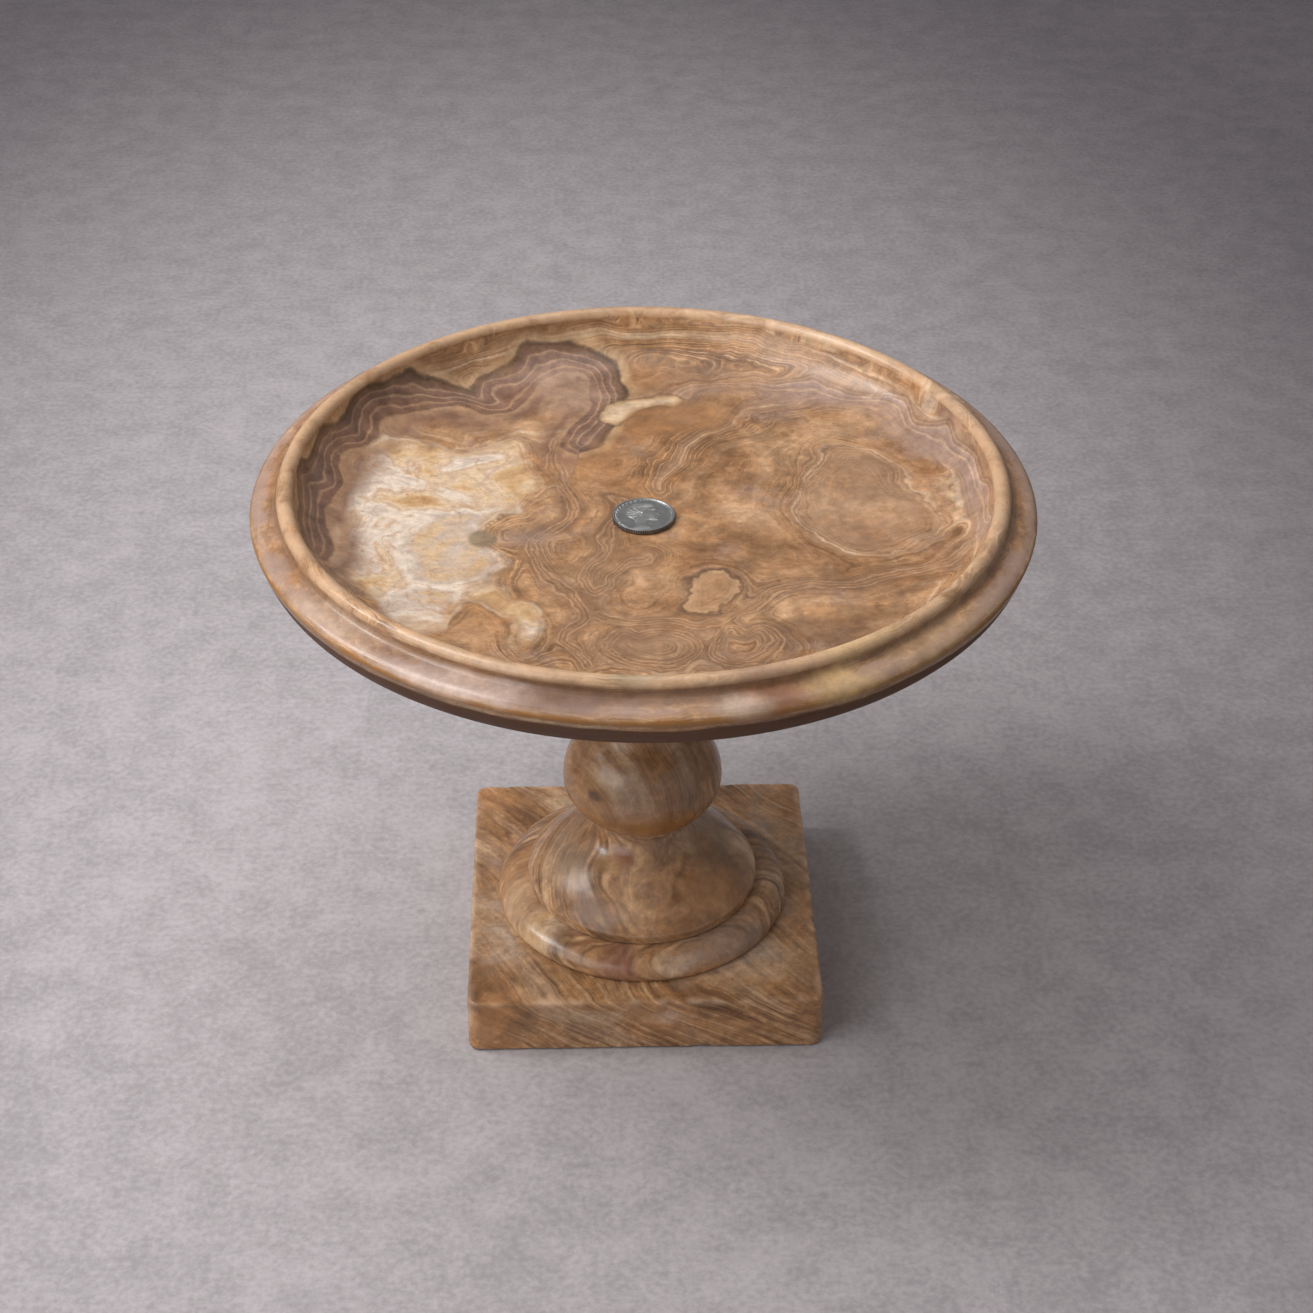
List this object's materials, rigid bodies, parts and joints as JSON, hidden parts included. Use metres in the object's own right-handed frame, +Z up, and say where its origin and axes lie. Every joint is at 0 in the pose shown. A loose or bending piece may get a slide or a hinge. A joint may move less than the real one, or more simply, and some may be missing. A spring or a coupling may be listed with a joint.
{
  "type": "baptismal font",
  "caption": "Small stone font: a wide shallow bowl with a moulded rim on a turned stem, domed foot and square plinth, with a drain stopper that lifts out.",
  "frame": {"origin": "middle of the footprint, on the surface that the font stands on", "axes": "+Z up along the axis of the turned stones, which is also the shortest extent; X and Y along the square plinth's sides, -Y the side that faces the viewer"},
  "size_m": [0.3, 0.3, 0.2315],
  "materials": {
    "onyx_marble": "polished banded onyx marble (calcite), orange-brown and cream with grey bands",
    "bedding_lead": null,
    "brass": "turned brass, a little tarnished",
    "steel": "plain zinc-plated steel",
    "old_silver": "dark worn silver alloy with a low relief",
    "rubber": "matt black rubber",
    "cork": null
  },
  "bodies": {
    "font": {"bowl": "onyx_marble", "baluster": "onyx_marble", "foot_bell": "onyx_marble", "base_ring": "onyx_marble", "plinth": "onyx_marble", "collar": "onyx_marble", "plinth_bed": "bedding_lead", "ring_bed": "bedding_lead", "stem_bed": "bedding_lead", "collar_bed": "bedding_lead", "bowl_bed": "bedding_lead", "drain_tube": "brass", "lock_nut": "brass", "jam_nut": "brass", "plinth_dowel_left": "brass", "plinth_dowel_right": "brass", "ring_dowel_left": "brass", "ring_dowel_right": "brass", "plinth_washer": "steel", "flange_gasket": "rubber", "plinth_gasket": "rubber", "pad_front_left": "cork", "pad_front_right": "cork", "pad_back_left": "cork", "pad_back_right": "cork"},
    "stopper": {"stopper_cap": "old_silver", "stopper_plug": "rubber", "stopper_screw": "brass"}
  },
  "joints": [
    {"name": "stopper_lift", "type": "slide", "parent": "font", "child": "stopper", "axis": [0, 0, 1], "range_m": [0, 0.05]}
  ]
}
